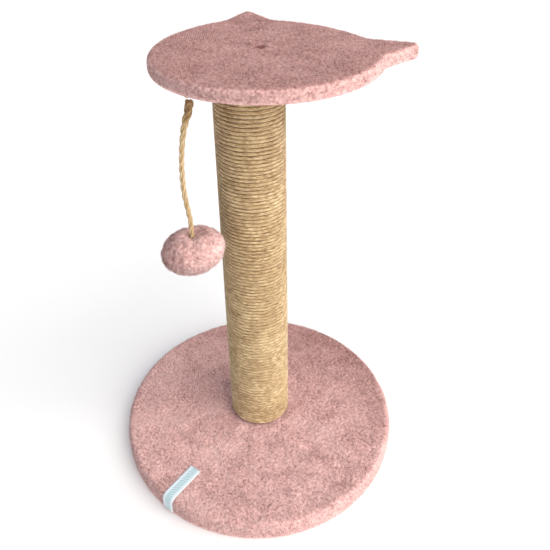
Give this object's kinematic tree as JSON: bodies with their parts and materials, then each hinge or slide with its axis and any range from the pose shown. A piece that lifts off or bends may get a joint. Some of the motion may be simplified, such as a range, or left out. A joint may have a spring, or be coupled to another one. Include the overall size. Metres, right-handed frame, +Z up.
{
  "type": "cat scratching post",
  "caption": "Sisal-wrapped scratching post with a round plush base, a plush cat-head platform and a stuffed ball that swings on a cord.",
  "frame": {"origin": "centre of the base's underside, on the floor", "axes": "+Z up along the post; +Y from the cat head's chin to the middle of its forehead, between the ears; +X to the side on which the head reaches farther past the post"},
  "size_m": [0.3686, 0.3699, 0.5485],
  "materials": {
    "plush": "short dusty-pink plush pile, matt with a soft sheen",
    "sisal": "natural twisted sisal, dry and fibrous",
    "board": "raw medium-density fibreboard",
    "card": "spiral-wound grey-brown card",
    "plug": "sawn pine",
    "zinc": "bright zinc-plated steel",
    "ribbon": "white satin ribbon, blank but for pale woven stripes",
    "filling": "loose white polyester fibre"
  },
  "bodies": {
    "stand": {"base_board": "board", "base_bolt": "zinc", "base_cover": "plush", "base_ribbon": "ribbon", "base_staple_1": "zinc", "base_staple_10": "zinc", "base_staple_11": "zinc", "base_staple_12": "zinc", "base_staple_2": "zinc", "base_staple_3": "zinc", "base_staple_4": "zinc", "base_staple_5": "zinc", "base_staple_6": "zinc", "base_staple_7": "zinc", "base_staple_8": "zinc", "base_staple_9": "zinc", "base_tee_nut": "zinc", "base_washer": "zinc", "bottom_plug_nail_1": "zinc", "bottom_plug_nail_2": "zinc", "bottom_plug_nail_3": "zinc", "head_board": "board", "head_cover": "plush", "head_screw": "zinc", "head_staple_1": "zinc", "head_staple_10": "zinc", "head_staple_11": "zinc", "head_staple_12": "zinc", "head_staple_2": "zinc", "head_staple_3": "zinc", "head_staple_4": "zinc", "head_staple_5": "zinc", "head_staple_6": "zinc", "head_staple_7": "zinc", "head_staple_8": "zinc", "head_staple_9": "zinc", "head_washer": "zinc", "post_bottom_plug": "plug", "post_top_plug": "plug", "post_tube": "card", "sisal_rope": "sisal", "sisal_wrap_lower": "sisal", "top_plug_nail_1": "zinc", "top_plug_nail_2": "zinc", "top_plug_nail_3": "zinc", "toy_staple": "zinc"},
    "cord_eye": {"toy_cord_eye": "sisal"},
    "cord": {"toy_cord_knot": "sisal", "toy_cord": "sisal"},
    "ball": {"toy_ball_cover": "plush", "toy_ball_filling": "filling", "toy_end_knot": "sisal"}
  },
  "joints": [
    {"name": "toy_swing_out", "type": "hinge", "parent": "stand", "child": "cord_eye", "pos_m": [-0.0034, -0.0803, 0.527], "axis": [-1, 0, 0], "range_deg": [-3, 60]},
    {"name": "toy_swing_side", "type": "hinge", "parent": "cord_eye", "child": "cord", "pos_m": [-0.0034, -0.0803, 0.521], "axis": [0, 1, 0], "range_deg": [-50, 50]},
    {"name": "toy_ball_spin", "type": "hinge", "parent": "cord", "child": "ball", "pos_m": [-0.0101, -0.0864, 0.338], "axis": [0, 0, 1], "range_deg": [-180, 180]}
  ]
}
